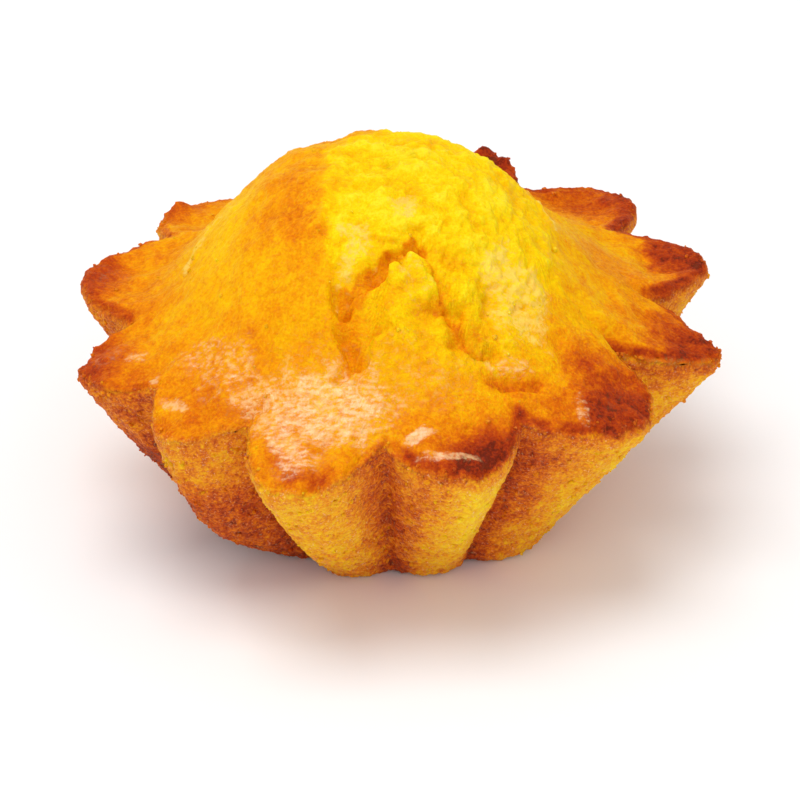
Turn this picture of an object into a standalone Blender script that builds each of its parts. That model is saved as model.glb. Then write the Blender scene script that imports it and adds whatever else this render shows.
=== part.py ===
"""A small sponge cake baked in a fluted tin, as one solid: a narrow flat base, twelve fluted flaring
ribs, an uneven lobed rim and a tall dome that has split open. Metres, +Z up, origin at the middle
of the base."""
import math
from collections import namedtuple

import bmesh
import bpy
import numpy as np

# Driving dimensions, in metres
BASE_RADIUS = 0.0218      # axis to the foot of a rib
BASE_CUT = 0.0042         # how far a groove cuts in at the foot
FOOT_ROUND = 0.0030       # radius of the corner between base and wall
WALL_BELLY = 0.65         # below 1 the wall swells most in its lower half
RIM_ROUND = 0.0013        # half the thickness of the crust's edge
RIM_LIFT = 0.0090         # how far in from its edge the skirt is drawn to the rim's own height
RIM_HEIGHT = 0.0258       # base to the level of the rim
DOME_RISE = 0.0212        # rim level to the crown
DOME_REACH = 0.0240       # axis to the steep side of the dome
DOME_POWER = 3.2          # 2 gives a bell, more gives a fuller shoulder
DOME_LEAN = -0.0020       # the dome sits to the -X side of the base

# Mesh density
SEGMENTS = 144
INNER_SEGMENTS = 72
FOOT_RINGS = 3
WALL_RINGS = 6
TOP_RINGS = 15
INNER_RINGS = 7
INNER_SHARE = 0.30        # share of the way to the rim where the rings thin out

# The ribs, anticlockwise from +X, in degrees and millimetres: angle, reach and height of the lobe at
# the top of the rib, how full its outline is before and after the tip (1 is straight), how far the
# wall swells and the foot stands out below, then the groove after it.
Rib = namedtuple("Rib", "angle reach height before after swell foot groove groove_reach groove_height")
RIBS = (
    Rib(18.0, 40.4, 28.0, 1.6, 1.7, 0.8, 0.0, 34.0, 32.8, 28.4),
    Rib(47.5, 42.0, 27.6, 2.2, 1.8, 0.8, 0.0, 62.0, 33.2, 28.8),
    Rib(72.0, 40.0, 29.4, 1.8, 1.8, 0.8, 0.0, 91.0, 32.4, 28.4),
    Rib(106.0, 39.0, 26.8, 1.7, 1.7, 0.8, 0.0, 122.0, 32.4, 28.0),
    Rib(137.5, 39.8, 27.2, 2.2, 2.0, 0.8, 0.0, 151.0, 33.0, 29.0),
    Rib(169.5, 40.2, 27.9, 2.0, 1.5, 1.6, 0.0, 187.5, 32.8, 27.8),
    Rib(195.5, 40.0, 25.4, 1.8, 2.2, 2.2, 0.3, 212.5, 34.0, 27.2),
    Rib(221.0, 37.8, 25.2, 1.8, 1.8, 3.8, 1.4, 237.0, 30.8, 27.6),
    Rib(252.0, 40.0, 24.6, 2.8, 1.6, 1.2, 0.3, 266.5, 32.2, 27.4),
    Rib(286.5, 36.8, 25.4, 2.6, 1.4, 0.8, 0.3, 297.0, 31.0, 27.6),
    Rib(321.0, 37.2, 25.2, 2.0, 2.2, -0.2, 1.4, 335.0, 28.2, 27.8),
    Rib(348.0, 39.6, 25.4, 1.5, 1.5, 0.2, 0.0, 362.0, 30.6, 28.0),
)
GROOVE_SWELL = -0.8       # the grooves run straighter than the crests

# The split in the dome, in plan, in millimetres
MAIN_CREVICE = ((-1.2, -15.4), (-2.4, -17.6), (-4.6, -18.8), (-6.3, -19.6), (-6.0, -22.2), (-5.6, -24.6))
SIDE_CREVICE = ((2.6, -14.2), (4.6, -16.6), (5.6, -19.6), (6.8, -22.0), (9.4, -22.6))
CREVICE_DEPTH = 2.2
SIDE_DEPTH = 1.0
CREVICE_WIDTH = 2.0
FLAP_TIP = (1.7, -14.8)   # the torn tongue of crumb between the two crevices
FLAP_FOOT = (1.4, -24.4)
FLAP_RISE = 1.1
PLATE_EDGE = ((2.0, -8.7), (-6.0, -7.6), (-12.0, -9.2), (-18.0, -7.2))  # y, x of the crust's torn edge
PLATE_RISE = 0.7
MM = 0.001


def smooth_step(low, high, value):
    t = np.clip((value - low) / (high - low), 0.0, 1.0)
    return t * t * (3.0 - 2.0 * t)


def softened(values):
    return (np.roll(values, 1) + 2.0 * values + np.roll(values, -1)) / 4.0


def rim_line(degrees):
    """At each angle, in millimetres: the rim's radius and height, the wall's swell and the foot's."""
    radius = np.zeros_like(degrees)
    height = np.zeros_like(degrees)
    swell = np.zeros_like(degrees)
    foot = np.zeros_like(degrees)
    for i, rib in enumerate(RIBS):
        before = RIBS[i - 1]
        start = before.groove - 360.0 * (before.groove > rib.angle)
        turn = (degrees - rib.angle + 180.0) % 360.0 - 180.0
        sides = (
            (start, before.groove_reach, before.groove_height, rib.before),
            (rib.groove, rib.groove_reach, rib.groove_height, rib.after),
        )
        for groove, groove_reach, groove_height, full in sides:
            share = turn / (groove - rib.angle)
            here = (share >= 0.0) & (share <= 1.0) & (np.abs(turn) < 90.0)
            fall = np.clip(share, 0.0, 1.0) ** full
            radius = np.where(here, rib.reach + (groove_reach - rib.reach) * fall, radius)
            height = np.where(here, rib.height + (groove_height - rib.height) * fall, height)
            swell = np.where(here, rib.swell + (GROOVE_SWELL - rib.swell) * fall, swell)
            foot = np.where(here, rib.foot * (1.0 - fall), foot)
    return softened(radius), softened(height), softened(swell), softened(foot)


def line_distance(x, y, points):
    """Distance in plan from each point to a line of straight runs."""
    nearest = np.full(np.shape(x), 1000.0)
    for (ax, ay), (bx, by) in zip(points[:-1], points[1:]):
        length = math.hypot(bx - ax, by - ay)
        along = np.clip(((x - ax) * (bx - ax) + (y - ay) * (by - ay)) / length ** 2, 0.0, 1.0)
        nearest = np.minimum(nearest, np.hypot(x - ax - along * (bx - ax), y - ay - along * (by - ay)))
    return nearest


def crevices(x, y):
    main = line_distance(x, y, MAIN_CREVICE)
    side = line_distance(x, y, SIDE_CREVICE)
    return (CREVICE_DEPTH * np.exp(-(main / CREVICE_WIDTH) ** 2)
            + SIDE_DEPTH * np.exp(-(side / CREVICE_WIDTH) ** 2))


def torn_flap(x, y):
    """A tongue that widens from its tip to its foot and stands proudest near the tip."""
    along = (y - FLAP_TIP[1]) / (FLAP_FOOT[1] - FLAP_TIP[1])
    middle = FLAP_TIP[0] + (FLAP_FOOT[0] - FLAP_TIP[0]) * along
    half_width = 0.8 + 4.6 * np.clip(along, 0.0, 1.0)
    across = smooth_step(half_width + 0.8, half_width - 0.8, np.abs(x - middle))
    return FLAP_RISE * across * smooth_step(-0.06, 0.08, along) * smooth_step(1.0, 0.3, along)


def crust_plate(x, y):
    """The crust left of the split, which stands above the torn crumb and fades into the dome."""
    edge = np.interp(-y, [-point[0] for point in PLATE_EDGE], [point[1] for point in PLATE_EDGE])
    past = x - edge
    fade = smooth_step(-12.0, -2.0, past) * smooth_step(-21.0, -18.0, y) * smooth_step(4.0, 1.0, y)
    return PLATE_RISE * smooth_step(0.7, -0.7, past) * fade


def lumps(x, y):
    """The dome's gentle unevenness."""
    return (0.30 * np.sin(0.52 * x + 0.31 * y + 0.6) * np.sin(0.47 * y - 0.22 * x + 1.9)
            + 0.16 * np.sin(1.05 * x - 0.64 * y + 2.2) * np.sin(0.91 * y + 0.44 * x))


def dome_height(out):
    """The dome above the rim's level, at a distance from its middle, in millimetres."""
    return DOME_RISE / MM * np.exp(-(out * MM / DOME_REACH) ** DOME_POWER)


def top_height(x, y, inset, rim_height):
    """Height of the top, in millimetres, at points that lie a given inset from the rim."""
    out = np.hypot(x, y)
    from_dome = np.hypot(x - DOME_LEAN / MM * smooth_step(34.0, 18.0, out), y)
    level = RIM_HEIGHT / MM
    skirt = level + dome_height(from_dome)
    at_rim = rim_height - level - dome_height(out + inset)
    torn = torn_flap(x, y) + crust_plate(x, y) - crevices(x, y)
    return (skirt + at_rim * smooth_step(RIM_LIFT / MM, 0.0, inset)
            + torn + lumps(x, y) * smooth_step(0.0, 6.0, inset))


def ring(radius, height, angles):
    return np.stack([radius * np.cos(angles), radius * np.sin(angles), height + 0.0 * angles], axis=1)


def wall_rings():
    """Rings of points from the flat base, round the foot and up to the edge of the crust."""
    degrees = np.arange(SEGMENTS) * 360.0 / SEGMENTS
    angles = np.radians(degrees)
    rim_radius, rim_height, swell, foot_swell = rim_line(degrees)
    cut = (rim_radius.max() - rim_radius) / np.ptp(rim_radius)
    round_size = FOOT_ROUND / MM
    foot = (BASE_RADIUS - BASE_CUT * cut) / MM + foot_swell
    lean = math.radians(65.0)
    rings = []
    for k in range(FOOT_RINGS):
        turn = lean * k / FOOT_RINGS
        radius = foot - round_size * (1.0 - math.sin(turn))
        rings.append(ring(radius, round_size * (1.0 - math.cos(turn)), angles))
    low_radius = foot - round_size * (1.0 - math.sin(lean))
    low_height = round_size * (1.0 - math.cos(lean))
    edge = RIM_ROUND / MM
    high_radius = rim_radius - 0.4 * edge
    high_height = rim_height - 1.8 * edge
    for k in range(WALL_RINGS + 1):
        t = k / WALL_RINGS
        bulge = swell * math.sin(math.pi * t ** WALL_BELLY)
        rings.append(ring(
            low_radius + (high_radius - low_radius) * t + bulge,
            low_height + (high_height - low_height) * t,
            angles,
        ))
    rings.append(ring(rim_radius, rim_height - 0.8 * edge, angles))
    return rings


def top_rings():
    """Rings of points from the edge of the crust in to the crown, and the crown itself."""
    edge = RIM_ROUND / MM
    outer = [1.0 - 0.015 - (1.0 - 0.015 - INNER_SHARE) * k / TOP_RINGS for k in range(TOP_RINGS)]
    inner = [INNER_SHARE * (1.0 - k / INNER_RINGS) for k in range(INNER_RINGS)]
    rings = []
    for share in outer + inner:
        count = SEGMENTS if share > INNER_SHARE + 0.001 else INNER_SEGMENTS
        degrees = np.arange(count) * 360.0 / count
        angles = np.radians(degrees)
        rim_radius, rim_height, _, _ = rim_line(degrees)
        evened = rim_radius + (rim_radius.mean() - rim_radius) * smooth_step(0.75, 0.2, share)
        x = evened * share * np.cos(angles)
        y = evened * share * np.sin(angles)
        inset = rim_radius * (1.0 - share)
        droop = edge * np.exp(-inset / (0.8 * edge))
        rings.append(np.stack([x, y, top_height(x, y, inset, rim_height) - droop], axis=1))
    crown = top_height(np.zeros(1), np.zeros(1), rim_radius.mean(), RIM_HEIGHT / MM)
    return rings, (0.0, 0.0, float(crown[0]))


def crumb_material():
    material = bpy.data.materials.new("golden_crumb")
    material.use_nodes = True
    shader = material.node_tree.nodes["Principled BSDF"]
    shader.inputs["Base Color"].default_value = (0.86, 0.42, 0.02, 1.0)
    shader.inputs["Roughness"].default_value = 0.5
    shader.inputs["Metallic"].default_value = 0.0
    return material


def join_rings(bm, low, high):
    """Faces between two rings; the upper ring has as many points as the lower one, or half."""
    count = len(low)
    step = count // len(high)
    for i in range(0, count, step):
        j = i // step
        a, b = high[j], high[(j + 1) % len(high)]
        if step == 1:
            bm.faces.new((low[i], low[(i + 1) % count], b, a))
        else:
            middle = low[i + 1]
            bm.faces.new((low[i], middle, a))
            bm.faces.new((middle, b, a))
            bm.faces.new((middle, low[(i + 2) % count], b))


def make_cake():
    upper, crown = top_rings()
    bm = bmesh.new()
    loops = [[bm.verts.new(point * MM) for point in points] for points in wall_rings() + upper]
    for low, high in zip(loops[:-1], loops[1:]):
        join_rings(bm, low, high)
    bm.faces.new(reversed(loops[0]))
    top = bm.verts.new([value * MM for value in crown])
    last = loops[-1]
    for i, vert in enumerate(last):
        bm.faces.new((vert, last[(i + 1) % len(last)], top))
    mesh = bpy.data.meshes.new("cake")
    bm.to_mesh(mesh)
    bm.free()
    mesh.materials.append(crumb_material())
    mesh.shade_smooth()
    mesh.set_sharp_from_angle(angle=math.radians(50.0))
    cake = bpy.data.objects.new("cake", mesh)
    bpy.context.scene.collection.objects.link(cake)
    return cake


def main():
    for item in list(bpy.data.objects):
        bpy.data.objects.remove(item)
    make_cake()


main()
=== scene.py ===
# A small golden sponge cake baked in a fluted tin: twelve flared ribs under a browned, lobed rim,
# and a tall dome that has torn open in front. Shapes are worked out in millimetres, as the cake is
# drawn, and become metres when a mesh is made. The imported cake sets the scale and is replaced.
import math

import bmesh
import bpy
import numpy as np
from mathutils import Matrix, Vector


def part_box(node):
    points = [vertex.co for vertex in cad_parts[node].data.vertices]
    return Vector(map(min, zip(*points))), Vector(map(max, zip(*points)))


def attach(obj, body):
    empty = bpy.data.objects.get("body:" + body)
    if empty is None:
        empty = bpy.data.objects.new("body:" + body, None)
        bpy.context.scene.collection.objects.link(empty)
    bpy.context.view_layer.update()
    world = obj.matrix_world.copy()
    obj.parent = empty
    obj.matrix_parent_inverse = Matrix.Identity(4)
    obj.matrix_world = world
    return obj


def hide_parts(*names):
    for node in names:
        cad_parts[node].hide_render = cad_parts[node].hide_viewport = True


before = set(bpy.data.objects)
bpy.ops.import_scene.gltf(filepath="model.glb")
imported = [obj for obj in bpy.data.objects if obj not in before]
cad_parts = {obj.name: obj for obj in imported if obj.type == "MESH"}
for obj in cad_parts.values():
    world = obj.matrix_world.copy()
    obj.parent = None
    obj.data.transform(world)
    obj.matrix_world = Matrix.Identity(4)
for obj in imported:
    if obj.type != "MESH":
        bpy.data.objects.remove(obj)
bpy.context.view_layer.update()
cakeLow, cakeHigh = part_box("cake")
drawnAcross = 77.76   # millimetres from the left lobe to the right one
mm = (cakeHigh[0] - cakeLow[0]) / drawnAcross


def smoothStep(low, high, value):
    # 0 before low, 1 past high and smooth between; low may be the larger
    t = np.clip((value - low) / (high - low), 0.0, 1.0)
    return t * t * (3.0 - 2.0 * t)


def between(first, second, share):
    # the first value at share 0, the second at share 1
    return first + (second - first) * share


def onStretch(value, start, full, fade, end):
    # 1 along a stretch, fading to 0 before and after it
    return smoothStep(start, full, value) * smoothStep(end, fade, value)


def cellHash(ix, iy, iz, seed):
    # a repeatable whole number for each cell of a grid
    n = (ix * 374761393 + iy * 668265263 + iz * 1274126177 + seed * 974711) & 0x7FFFFFFF
    n = ((n ^ (n >> 13)) * 1103515245) & 0x7FFFFFFF
    n = ((n ^ (n >> 15)) * 69069 + 12345) & 0x7FFFFFFF
    return n ^ (n >> 11)


# directions for the noise to pick from
slopes = np.random.default_rng(5).normal(size=(256, 3))
slopes /= np.linalg.norm(slopes, axis=1, keepdims=True)


def noise(points, cell, seed):
    # smooth gradient noise, about -1 to 1, with features one cell wide
    spot = points / cell
    corner = np.floor(spot).astype(np.int64)
    part = spot - corner
    ease = part * part * part * (part * (part * 6.0 - 15.0) + 10.0)
    total = np.zeros(len(points))
    for step in np.ndindex(2, 2, 2):
        pick = cellHash(*(corner + step).T, seed) & 255
        weight = np.where(step, ease, 1.0 - ease).prod(axis=1)
        total += weight * (slopes[pick] * (part - step)).sum(axis=1)
    return 1.6 * total


def noises(points, *parts):
    # several sizes of noise added up, each by its share, cell and seed
    return sum(share * noise(points, cell, seed) for share, cell, seed in parts)


def dots(points, cell, seed):
    # distance to the nearest of scattered points, in cells, and that point's own number, 0 to 1
    spot = points / cell
    corner = np.floor(spot).astype(np.int64)
    nearest = np.full(len(points), 9.0)
    own = np.zeros(len(points))
    for step in np.ndindex(3, 3, 3):
        place = corner + step - 1
        code = cellHash(*place.T, seed)
        jitter = np.stack([(code >> bits) & 1023 for bits in (0, 10, 20)], axis=1) / 1023.0
        away = np.linalg.norm(place + jitter - spot, axis=1)
        closer = away < nearest
        own = np.where(closer, ((code * 7919) >> 7 & 1023) / 1023.0, own)
        nearest = np.where(closer, away, nearest)
    return nearest, own


def named(keys, rows):
    # each row's values under these keys
    return [dict(zip(keys, row)) for row in rows]


def oval(x, y, long, wide, turn, strength=1.0):
    # a spot in plan: its middle, half its length and width, and the slant of its long side in degrees
    return {"x": x, "y": y, "long": long, "wide": wide, "turn": turn, "strength": strength}


def awayFrom(x, y, spot):
    # distance from an oval's middle, where 1 is its outline
    turn = math.radians(spot["turn"])
    along = (x - spot["x"]) * math.cos(turn) + (y - spot["y"]) * math.sin(turn)
    across = (y - spot["y"]) * math.cos(turn) - (x - spot["x"]) * math.sin(turn)
    return np.hypot(along / spot["long"], across / spot["wide"])


def patch(x, y, spot):
    # an oval with an even middle and a soft outline
    return smoothStep(1.25, 0.6, awayFrom(x, y, spot))


def blur(x, y, spot):
    # an oval that fades all the way, with no outline of its own
    return np.exp(-1.4 * awayFrom(x, y, spot) ** 2)


def lineDistance(x, y, points):
    # shortest way in plan to a line through the points
    nearest = np.full(np.shape(x), 1000.0)
    for (ax, ay), (bx, by) in zip(points[:-1], points[1:]):
        length = math.hypot(bx - ax, by - ay)
        along = np.clip(((x - ax) * (bx - ax) + (y - ay) * (by - ay)) / length ** 2, 0.0, 1.0)
        nearest = np.minimum(nearest, np.hypot(x - ax - along * (bx - ax), y - ay - along * (by - ay)))
    return nearest


def lineBlur(x, y, points, width):
    # 1 on a line through the points, and less to each side
    return np.exp(-(lineDistance(x, y, points) / width) ** 2)


def turnFrom(start, degrees):
    # degrees from one bearing to another, the shorter way round
    return (degrees - start + 180.0) % 360.0 - 180.0


body = {
    "baseRadius": 21.8,   # axis to the foot of a rib
    "baseCut": 4.2,       # how far a groove cuts in at the foot
    "footRound": 3.0,
    "footTurn": 65.0,     # degrees that the foot's bend turns through
    "wallBelly": 0.65,    # below 1 the wall swells most in its lower half
    "rimLift": 9.0,       # within this of the edge, the skirt bends to the rim's own height
    "rimHeight": 25.8,
    "domeRise": 21.2,     # the dome's top above the rim
    "domeReach": 24.0,    # how far out the dome spreads
    "domePower": 3.2,     # higher for a flatter top and steeper sides
    "domeLean": -2.0,     # how far to the left the dome has risen
    "grooveSwell": -0.8,  # how far the wall bulges in a groove, inwards here
    "grooveRound": 1.5,   # rounding of the crust's edge there
    "columns": 768,       # mesh points round the rim
    "footRows": 8,
    "wallRows": 98,
    "edgeIn": 0.4,        # the wall ends this far in from the rim, and below it, in roundings
    "edgeDown": 1.8,
    "wallPull": 1.1,      # how far the edge's bend carries on from the wall, and from the top
    "topPull": 0.75,
    "droop": 0.8,         # how far in the top droops to its edge, in roundings
    "evened": (0.75, 0.2),  # between these shares of the way out, the rings turn round
    "edgeRows": 12,       # rows round the crust's edge
    "seamRow": 5,         # the wall's mesh stops at this one of them
}

# Each rib, in degrees and millimetres: the tip of its lobe, how broad the lobe is before and after
# the tip, how far the wall swells and the foot stands out, the groove after it, the rounding of the
# crust's edge, how brown the lobe is, how far that reaches in from the tip and from the edge, and
# how brown the wall is on the crest, in the groove (there partly painted shade) and just below the edge.
ribs = named((
    "angle", "reach", "height", "before", "after", "swell", "foot", "groove", "grooveReach", "grooveHeight",
    "round", "baked", "tipReach", "edgeReach", "wallTone", "grooveTone", "collar",
), (
    (18.0, 40.4, 28.0, 1.6, 1.7, 0.8, 0.0, 34.0, 32.8, 28.4, 1.3, 0.95, 16.0, 5.0, 0.50, 0.64, 0.62),
    (47.5, 42.0, 27.6, 2.2, 1.8, 0.8, 0.0, 62.0, 33.2, 28.8, 1.3, 0.92, 12.0, 8.0, 0.50, 0.68, 0.66),
    (72.0, 40.0, 29.4, 1.8, 1.8, 0.8, 0.0, 91.0, 32.4, 28.4, 1.4, 0.96, 12.0, 6.0, 0.52, 0.68, 0.66),
    (106.0, 39.0, 26.8, 1.7, 1.7, 0.8, 0.0, 122.0, 32.4, 28.0, 1.3, 0.86, 12.0, 5.0, 0.48, 0.70, 0.60),
    (137.5, 39.8, 27.2, 2.2, 2.0, 0.8, 0.0, 151.0, 33.0, 29.0, 1.3, 0.70, 11.0, 4.0, 0.46, 0.66, 0.56),
    (169.5, 40.2, 27.9, 2.0, 1.5, 1.6, 0.0, 187.5, 32.8, 27.8, 1.5, 0.84, 14.0, 4.0, 0.62, 0.64, 0.66),
    (195.5, 40.0, 25.4, 1.8, 2.2, 2.2, 0.3, 212.5, 34.0, 27.2, 1.6, 0.82, 14.0, 3.0, 0.70, 0.72, 0.74),
    (221.0, 37.8, 25.2, 1.8, 1.8, 3.8, 1.4, 237.0, 31.6, 27.6, 2.8, 0.62, 8.0, 3.5, 0.56, 0.60, 0.58),
    (252.0, 40.0, 24.6, 2.8, 1.6, 1.2, 0.3, 266.5, 32.2, 27.4, 1.9, 0.62, 4.0, 3.2, 0.42, 0.74, 0.46),
    (286.5, 36.8, 25.4, 2.6, 1.4, 0.8, 0.3, 297.0, 31.0, 27.6, 1.8, 0.94, 12.5, 4.0, 0.42, 0.72, 0.64),
    (321.0, 37.2, 25.2, 2.0, 2.2, -0.2, 1.4, 335.0, 28.2, 27.8, 1.5, 0.93, 20.0, 4.5, 0.38, 0.56, 0.58),
    (348.0, 39.6, 25.4, 1.5, 1.5, 0.2, 0.0, 362.0, 30.6, 28.0, 1.2, 0.94, 18.0, 5.0, 0.44, 0.60, 0.66),
))


def softened(values, reach):
    # a running mean round the rim
    window = np.bartlett(2 * reach + 1)
    around = np.concatenate([values[-reach:], values, values[:reach]])
    return np.convolve(around, window / window.sum(), "valid")


rimKeys = ("radius", "height", "swell", "foot", "round", "tone", "collar")
# unevenness of the rim: what it moves, how far, how wide its waves are, and its seed
rimWaves = (
    ("radius", 0.45, 3.6, 31),
    ("radius", 0.24, 1.3, 32),
    ("height", 0.40, 4.2, 33),
    ("height", 0.15, 1.6, 34),
)


def makeRimTable():
    # at every quarter of a degree round the rim, what the keys of rimKeys say
    degrees = np.arange(1440) * 0.25
    table = {key: np.zeros(len(degrees)) for key in rimKeys}
    for i, rib in enumerate(ribs):
        last = ribs[i - 1]
        start = last["groove"] - 360.0 * (last["groove"] > rib["angle"])
        turn = turnFrom(rib["angle"], degrees)
        for end, groove, full in ((start, last, rib["before"]), (rib["groove"], rib, rib["after"])):
            share = turn / (end - rib["angle"])
            here = (share >= 0.0) & (share <= 1.0) & (np.abs(turn) < 90.0)
            share = np.clip(share, 0.0, 1.0)
            fall = share ** full
            inGroove = smoothStep(0.35, 0.95, share)
            values = {
                "radius": between(rib["reach"], groove["grooveReach"], fall),
                "height": between(rib["height"], groove["grooveHeight"], fall),
                "swell": between(rib["swell"], body["grooveSwell"], fall),
                "foot": rib["foot"] * (1.0 - fall),
                "round": between(rib["round"], body["grooveRound"], fall),
                "tone": between(rib["wallTone"], groove["grooveTone"], inGroove),
                "collar": rib["collar"],
            }
            for key, value in values.items():
                table[key] = np.where(here, value, table[key])
    table = {key: softened(value, 8) for key, value in table.items()}
    around = np.radians(degrees)
    ringPoints = 40.0 * np.stack([np.cos(around), np.sin(around), 0.0 * around], axis=1)
    for key, reach, cell, seed in rimWaves:
        table[key] += reach * noise(ringPoints, cell, seed)
    table["round"] *= 1.0 + 0.25 * noise(ringPoints, 3.0, 35)
    return degrees, table


rimDegrees, rimTable = makeRimTable()


def rimAt(count):
    # the rim at this many bearings round the cake, and how far each bearing goes along x and y
    degrees = np.arange(count) * 360.0 / count
    rim = {key: np.interp(degrees, rimDegrees, value, period=360.0) for key, value in rimTable.items()}
    return rim, np.cos(np.radians(degrees)), np.sin(np.radians(degrees))


split = {
    "main": ((1.9, -13.4), (0.4, -14.6), (-1.6, -15.8), (-3.2, -17.0), (-4.8, -17.6), (-6.4, -18.4)),
    "left": ((-6.4, -18.4), (-6.6, -20.6), (-6.0, -22.6), (-6.1, -24.6)),
    "right": ((2.2, -14.2), (3.6, -16.2), (4.5, -17.6), (4.6, -19.4)),
    "side": ((5.4, -19.4), (6.6, -20.4), (7.6, -21.4), (10.2, -21.6)),
    "fold": ((9.2, -14.0), (10.6, -16.2), (9.8, -18.4)),
    "depth": {"main": 1.8, "left": 1.3, "right": 1.1, "side": 1.3, "fold": 0.6},
    "stray": (1.1, 0.35),  # how far torn edges wander, broadly and finely
    "width": 1.0,  # of each crevice, from its middle
    "hollow": oval(-4.4, -21.6, 3.4, 2.3, 72.0),
    "hollowDepth": 1.9,
    "flapTip": (1.8, -14.8),  # the torn tongue's point
    "flapFoot": (0.2, -25.0),  # the middle of where it joins the skirt
    "flapRise": 1.25,
    "flapHalfWidth": (0.9, 6.3),  # at its point, and where it joins
    "tornOval": oval(4.0, -6.0, 14.0, 18.5, 0.0),
    "plateOval": oval(-13.0, -6.0, 13.0, 5.6, 97.0),
    "plateEdge": ((6.0, -9.5), (2.0, -8.7), (-6.0, -7.6), (-12.0, -9.2), (-18.0, -7.2)),  # y, x
    "raggedRim": (322.0, 327.0, 346.0, 350.0),  # degrees round the cake where the edge has crumbled
    "plateRise": 0.45,  # crust left of the split, above the crumb
}
# raised flakes and pressed lines in the crust: where each runs, its height and its width
ridges = {
    "flake": {"line": ((-25.6, -1.2), (-24.6, 1.6), (-22.6, 3.6)), "rise": 0.55, "width": 0.7},
    "edge": {"line": ((15.8, 5.0), (18.6, 1.2)), "rise": 0.45, "width": 0.6},
    "crack": {"line": ((-10.4, -17.6), (-8.8, -21.0), (-8.9, -24.5)), "rise": -0.35, "width": 0.35},
    "nick": {"line": ((10.2, -24.2), (13.0, -24.0), (16.2, -22.6)), "rise": -0.8, "width": 0.7},
    "dip": {"line": ((-16.0, -25.5), (-19.5, -25.0), (-22.5, -22.8)), "rise": -0.5, "width": 1.6},
}
# knobs on the rim, and notches where the rise is below 0
knobs = named(("x", "y", "size", "rise"), (
    (10.8, 37.6, 1.9, 1.1),
    (13.8, 35.4, 1.3, 1.5),
    (-28.2, 25.9, 1.5, 0.9),
    (-38.0, 10.9, 0.9, 0.8),
    (-36.4, 11.4, 0.8, 0.7),
    (-38.8, 7.6, 0.8, 0.5),
    (37.6, 13.6, 1.4, 0.7),
    (29.6, 28.2, 1.0, 0.7),
    (-12.7, -35.4, 1.5, -0.4),
    (-9.2, -35.8, 1.5, -0.4),
    (-32.2, 6.0, 1.2, 0.5),
    (-33.6, -9.6, 1.3, 0.45),
))
# pits in the wall, placed by degrees round the cake and height
wallPits = named(("around", "z", "size", "depth"), (
    (202.0, 23.0, 1.2, 0.9),
    (206.0, 21.6, 0.8, 0.6),
    (206.4, 19.6, 0.8, 0.6),
    (207.4, 18.0, 0.8, 0.6),
))


def wander(x, y, cell, seed):
    # a sideways wobble in plan, so that no torn edge runs straight
    flat = np.stack([x, y, 0.0 * x], axis=1)
    return noise(flat, cell, seed), noise(flat, cell, seed + 1)


def crevice(x, y, name):
    # from 0 outside a torn line to 1 at its bottom
    return lineBlur(x, y, split[name], split["width"])


def crevices(x, y):
    lines = sum(depth * crevice(x, y, name) for name, depth in split["depth"].items())
    return lines + split["hollowDepth"] * patch(x, y, split["hollow"])


def flapShare(x, y):
    # inside the torn tongue of crumb: how far in from its sides, and how far along it
    tipX, tipY = split["flapTip"]
    footX, footY = split["flapFoot"]
    along = (y - tipY) / (footY - tipY)
    halfWidth = between(*split["flapHalfWidth"], np.clip(along, 0.0, 1.0) ** 0.8)
    return halfWidth - np.abs(x - between(tipX, footX, along)), along


def tornFlap(x, y):
    inward, along = flapShare(x, y)
    across = smoothStep(-0.35, 0.45, inward)
    return split["flapRise"] * across * smoothStep(-0.04, 0.04, along) * smoothStep(1.0, 0.1, along)


def plateEdgeAt(y):
    # x of the ragged line where the left crust ends and torn crumb begins
    places = [(-alongY, edgeX) for alongY, edgeX in split["plateEdge"]]
    return np.interp(-y, *zip(*places))


def crustPlate(x, y):
    past = x - plateEdgeAt(y)
    fade = smoothStep(-12.0, -2.0, past) * smoothStep(-21.0, -18.0, y) * smoothStep(9.0, 6.0, y)
    return split["plateRise"] * smoothStep(0.4, -0.4, past) * fade


def smallRidges(x, y):
    return sum(ridge["rise"] * lineBlur(x, y, ridge["line"], ridge["width"]) for ridge in ridges.values())


def knobHeights(x, y):
    total = np.zeros(len(x))
    for knob in knobs:
        away = np.hypot(x - knob["x"], y - knob["y"]) / knob["size"]
        total += knob["rise"] * np.exp(-away ** 2)
    return total


def tornMask(x, y):
    # where the dome's crust is torn away and the soft crumb shows
    inside = smoothStep(1.12, 0.9, awayFrom(x, y, split["tornOval"]))
    return inside * smoothStep(-1.8, 1.8, x - plateEdgeAt(y))


# gentle swells of the crust: height, and two crossing waves by their turn along x, along y and start
swells = (
    {"rise": 0.30, "one": (0.52, 0.31, 0.6), "other": (-0.22, 0.47, 1.9)},
    {"rise": 0.16, "one": (1.05, -0.64, 2.2), "other": (0.44, 0.91, 0.0)},
)


def wave(x, y, turns):
    alongX, alongY, start = turns
    return np.sin(alongX * x + alongY * y + start)


def domeHeight(out):
    # height over the rim's level, that far out from the dome's middle
    return body["domeRise"] * np.exp(-(out / body["domeReach"]) ** body["domePower"])


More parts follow.
